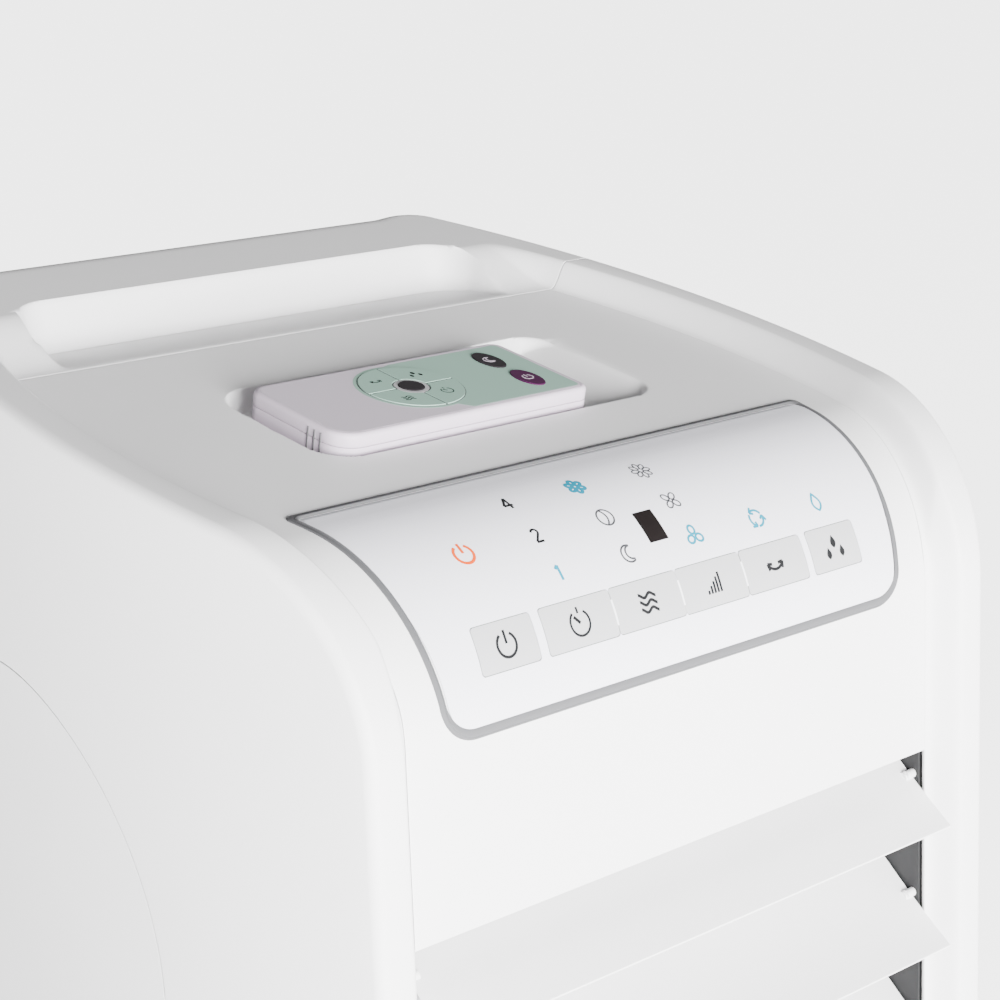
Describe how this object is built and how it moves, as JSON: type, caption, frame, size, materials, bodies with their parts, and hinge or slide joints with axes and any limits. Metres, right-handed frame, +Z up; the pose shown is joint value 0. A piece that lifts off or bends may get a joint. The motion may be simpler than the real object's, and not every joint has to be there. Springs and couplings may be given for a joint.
{
  "type": "portable air conditioner",
  "caption": "Upright portable air conditioner on casters with a louvred front, curved control panel and a remote control in a top pocket.",
  "frame": {"origin": "centre of the bounding box at floor level", "axes": "+X to the viewer's right as the front is faced, +Y towards the back, +Z up"},
  "size_m": [0.3826, 0.365, 0.7266],
  "materials": {
    "casing_white": "fine moulded satin",
    "panel_lens": "gloss printed film",
    "bezel_gray": "satin metallic gray",
    "key_gray": "printed light gray",
    "louvre_white": "smooth satin",
    "duct_gray": "dark moulded",
    "mechanism_gray": "moulded acetal",
    "remote_lilac": "satin lilac white",
    "remote_mint": "printed mint film",
    "remote_dark_key": "glossy dark rubber key",
    "remote_purple_key": "glossy purple key",
    "battery_skin": "printed metal can",
    "board_green": "printed circuit board",
    "filter_net": "fine dark net",
    "aluminium_fins": "bare fins",
    "copper": "drawn copper",
    "compressor_black": "stove enamel",
    "motor_steel": "pressed steel",
    "fan_plastic": "glass filled plastic",
    "foam_white": "expanded polystyrene",
    "base_gray": "ribbed moulding",
    "caster_gray": "moulded nylon",
    "caster_tread": "hard rubber tread",
    "plug_rubber": "soft rubber"
  },
  "bodies": {
    "casing": {"front_cover": "casing_white", "lower_front_panel": "casing_white", "left_side_panel": "casing_white", "right_side_panel": "casing_white", "rear_top_cover": "casing_white", "rear_cover": "casing_white", "control_panel_bezel": "bezel_gray", "control_panel_lens": "panel_lens", "control_board": "board_green", "louvre_motor": "mechanism_gray", "air_outlet_duct": "duct_gray", "lower_intake_grille": "casing_white", "exhaust_collar": "casing_white", "power_cord_inlet": "caster_gray", "base_pan": "base_gray", "compressor": "compressor_black", "evaporator_coil": "aluminium_fins", "condenser_coil": "aluminium_fins", "fan_motors": "motor_steel", "blower_housings": "foam_white", "divider_deck": "foam_white", "refrigerant_pipes": "copper", "electrics_box": "mechanism_gray"},
    "louvre_1": {"louvre_1": "louvre_white"},
    "louvre_2": {"louvre_2": "louvre_white"},
    "louvre_3": {"louvre_3": "louvre_white"},
    "louvre_4": {"louvre_4": "louvre_white"},
    "louvre_5": {"louvre_5": "louvre_white"},
    "link": {"louvre_link_bar": "mechanism_gray"},
    "power_key_tile": {"power_key": "key_gray"},
    "timer_key_tile": {"timer_key": "key_gray"},
    "mode_key_tile": {"mode_key": "key_gray"},
    "fan_speed_key_tile": {"fan_speed_key": "key_gray"},
    "swing_key_tile": {"swing_key": "key_gray"},
    "dehumidify_key_tile": {"dehumidify_key": "key_gray"},
    "remote": {"remote_lower_shell": "remote_lilac", "remote_upper_shell": "remote_lilac", "remote_batteries": "battery_skin", "remote_board": "board_green"},
    "remote_door": {"remote_battery_door": "remote_lilac"},
    "remote_sleep_key_cap": {"remote_sleep_key": "remote_dark_key"},
    "remote_power_key_cap": {"remote_power_key": "remote_purple_key"},
    "remote_centre_key_cap": {"remote_centre_key": "remote_dark_key"},
    "remote_dry_key_cap": {"remote_dry_key": "remote_mint"},
    "remote_swing_key_cap": {"remote_swing_key": "remote_mint"},
    "remote_fan_key_cap": {"remote_fan_key": "remote_mint"},
    "remote_timer_key_cap": {"remote_timer_key": "remote_mint"},
    "grille": {"upper_intake_grille": "casing_white", "upper_air_filter": "filter_net"},
    "drain": {"drain_plug": "plug_rubber"},
    "fork_front_left": {"caster_fork_front_left": "caster_gray"},
    "wheel_front_left": {"caster_wheel_front_left": "caster_tread"},
    "fork_front_right": {"caster_fork_front_right": "caster_gray"},
    "wheel_front_right": {"caster_wheel_front_right": "caster_tread"},
    "fork_rear_left": {"caster_fork_rear_left": "caster_gray"},
    "wheel_rear_left": {"caster_wheel_rear_left": "caster_tread"},
    "fork_rear_right": {"caster_fork_rear_right": "caster_gray"},
    "wheel_rear_right": {"caster_wheel_rear_right": "caster_tread"},
    "evaporator_fan": {"evaporator_fan_wheel": "fan_plastic"},
    "condenser_fan": {"condenser_fan_wheel": "fan_plastic"}
  },
  "joints": [
    {"name": "louvre_1_tilt", "type": "hinge", "parent": "casing", "child": "louvre_1", "pos_m": [0, -0.16066, 0.4986], "axis": [-1, 0, 0], "range_deg": [-42, 34]},
    {"name": "louvre_2_tilt", "type": "hinge", "parent": "casing", "child": "louvre_2", "pos_m": [0, -0.16066, 0.4432], "axis": [-1, 0, 0], "range_deg": [-42, 34]},
    {"name": "louvre_3_tilt", "type": "hinge", "parent": "casing", "child": "louvre_3", "pos_m": [0, -0.16066, 0.3878], "axis": [-1, 0, 0], "range_deg": [-42, 34]},
    {"name": "louvre_4_tilt", "type": "hinge", "parent": "casing", "child": "louvre_4", "pos_m": [0, -0.16066, 0.3324], "axis": [-1, 0, 0], "range_deg": [-42, 34]},
    {"name": "louvre_5_tilt", "type": "hinge", "parent": "casing", "child": "louvre_5", "pos_m": [0, -0.16066, 0.277], "axis": [-1, 0, 0], "range_deg": [-42, 34]},
    {"name": "link_bar_pivot", "type": "hinge", "parent": "louvre_1", "child": "link", "pos_m": [-0.153, -0.15334, 0.49039], "axis": [-1, 0, 0], "range_deg": [-34, 42]},
    {"name": "power_key_press", "type": "slide", "parent": "casing", "child": "power_key_tile", "axis": [0, 0.9294, -0.3692], "range_m": [0, 0.0003], "stiffness_N_per_m": 900},
    {"name": "timer_key_press", "type": "slide", "parent": "casing", "child": "timer_key_tile", "axis": [0, 0.9294, -0.3692], "range_m": [0, 0.0003], "stiffness_N_per_m": 900},
    {"name": "mode_key_press", "type": "slide", "parent": "casing", "child": "mode_key_tile", "axis": [0, 0.9294, -0.3692], "range_m": [0, 0.0003], "stiffness_N_per_m": 900},
    {"name": "fan_speed_key_press", "type": "slide", "parent": "casing", "child": "fan_speed_key_tile", "axis": [0, 0.9294, -0.3692], "range_m": [0, 0.0003], "stiffness_N_per_m": 900},
    {"name": "swing_key_press", "type": "slide", "parent": "casing", "child": "swing_key_tile", "axis": [0, 0.9294, -0.3692], "range_m": [0, 0.0003], "stiffness_N_per_m": 900},
    {"name": "dehumidify_key_press", "type": "slide", "parent": "casing", "child": "dehumidify_key_tile", "axis": [0, 0.9294, -0.3692], "range_m": [0, 0.0003], "stiffness_N_per_m": 900},
    {"name": "remote_lift", "type": "slide", "parent": "casing", "child": "remote", "axis": [0, -0.2164, 0.9763], "range_m": [0, 0.08]},
    {"name": "battery_door_slide", "type": "slide", "parent": "remote", "child": "remote_door", "axis": [1, 0, 0], "range_m": [0, 0.02]},
    {"name": "remote_sleep_key_press", "type": "slide", "parent": "remote", "child": "remote_sleep_key_cap", "axis": [0, 0.2164, -0.9763], "range_m": [0, 0.0003], "stiffness_N_per_m": 600},
    {"name": "remote_power_key_press", "type": "slide", "parent": "remote", "child": "remote_power_key_cap", "axis": [0, 0.2164, -0.9763], "range_m": [0, 0.0003], "stiffness_N_per_m": 600},
    {"name": "remote_centre_key_press", "type": "slide", "parent": "remote", "child": "remote_centre_key_cap", "axis": [0, 0.2164, -0.9763], "range_m": [0, 0.0003], "stiffness_N_per_m": 600},
    {"name": "remote_dry_key_press", "type": "slide", "parent": "remote", "child": "remote_dry_key_cap", "axis": [0, 0.2164, -0.9763], "range_m": [0, 0.0003], "stiffness_N_per_m": 600},
    {"name": "remote_swing_key_press", "type": "slide", "parent": "remote", "child": "remote_swing_key_cap", "axis": [0, 0.2164, -0.9763], "range_m": [0, 0.0003], "stiffness_N_per_m": 600},
    {"name": "remote_fan_key_press", "type": "slide", "parent": "remote", "child": "remote_fan_key_cap", "axis": [0, 0.2164, -0.9763], "range_m": [0, 0.0003], "stiffness_N_per_m": 600},
    {"name": "remote_timer_key_press", "type": "slide", "parent": "remote", "child": "remote_timer_key_cap", "axis": [0, 0.2164, -0.9763], "range_m": [0, 0.0003], "stiffness_N_per_m": 600},
    {"name": "intake_grille_off", "type": "slide", "parent": "casing", "child": "grille", "axis": [0, 1, 0], "range_m": [0, 0.06]},
    {"name": "drain_plug_out", "type": "slide", "parent": "casing", "child": "drain", "axis": [0, 1, 0], "range_m": [0, 0.03]},
    {"name": "caster_front_left_swivel", "type": "hinge", "parent": "casing", "child": "fork_front_left", "pos_m": [-0.128, -0.12546, 0.04], "axis": [0, 0, 1], "continuous": true},
    {"name": "caster_front_left_roll", "type": "hinge", "parent": "fork_front_left", "child": "wheel_front_left", "pos_m": [-0.128, -0.11646, 0.0155], "axis": [1, 0, 0], "continuous": true},
    {"name": "caster_front_right_swivel", "type": "hinge", "parent": "casing", "child": "fork_front_right", "pos_m": [0.128, -0.12546, 0.04], "axis": [0, 0, 1], "continuous": true},
    {"name": "caster_front_right_roll", "type": "hinge", "parent": "fork_front_right", "child": "wheel_front_right", "pos_m": [0.128, -0.11646, 0.0155], "axis": [1, 0, 0], "continuous": true},
    {"name": "caster_rear_left_swivel", "type": "hinge", "parent": "casing", "child": "fork_rear_left", "pos_m": [-0.112, 0.11254, 0.04], "axis": [0, 0, 1], "continuous": true},
    {"name": "caster_rear_left_roll", "type": "hinge", "parent": "fork_rear_left", "child": "wheel_rear_left", "pos_m": [-0.112, 0.12154, 0.0155], "axis": [1, 0, 0], "continuous": true},
    {"name": "caster_rear_right_swivel", "type": "hinge", "parent": "casing", "child": "fork_rear_right", "pos_m": [0.112, 0.11254, 0.04], "axis": [0, 0, 1], "continuous": true},
    {"name": "caster_rear_right_roll", "type": "hinge", "parent": "fork_rear_right", "child": "wheel_rear_right", "pos_m": [0.112, 0.12154, 0.0155], "axis": [1, 0, 0], "continuous": true},
    {"name": "evaporator_fan_spin", "type": "hinge", "parent": "casing", "child": "evaporator_fan", "pos_m": [0, -0.00746, 0.392], "axis": [0, 1, 0], "continuous": true},
    {"name": "condenser_fan_spin", "type": "hinge", "parent": "casing", "child": "condenser_fan", "pos_m": [0.052, 0.03254, 0.168], "axis": [0, 1, 0], "continuous": true}
  ],
  "couplings": [
    {"joint": "louvre_2_tilt", "follows": "louvre_1_tilt", "ratio": 1},
    {"joint": "louvre_3_tilt", "follows": "louvre_1_tilt", "ratio": 1},
    {"joint": "louvre_4_tilt", "follows": "louvre_1_tilt", "ratio": 1},
    {"joint": "louvre_5_tilt", "follows": "louvre_1_tilt", "ratio": 1},
    {"joint": "link_bar_pivot", "follows": "louvre_1_tilt", "ratio": -1}
  ]
}
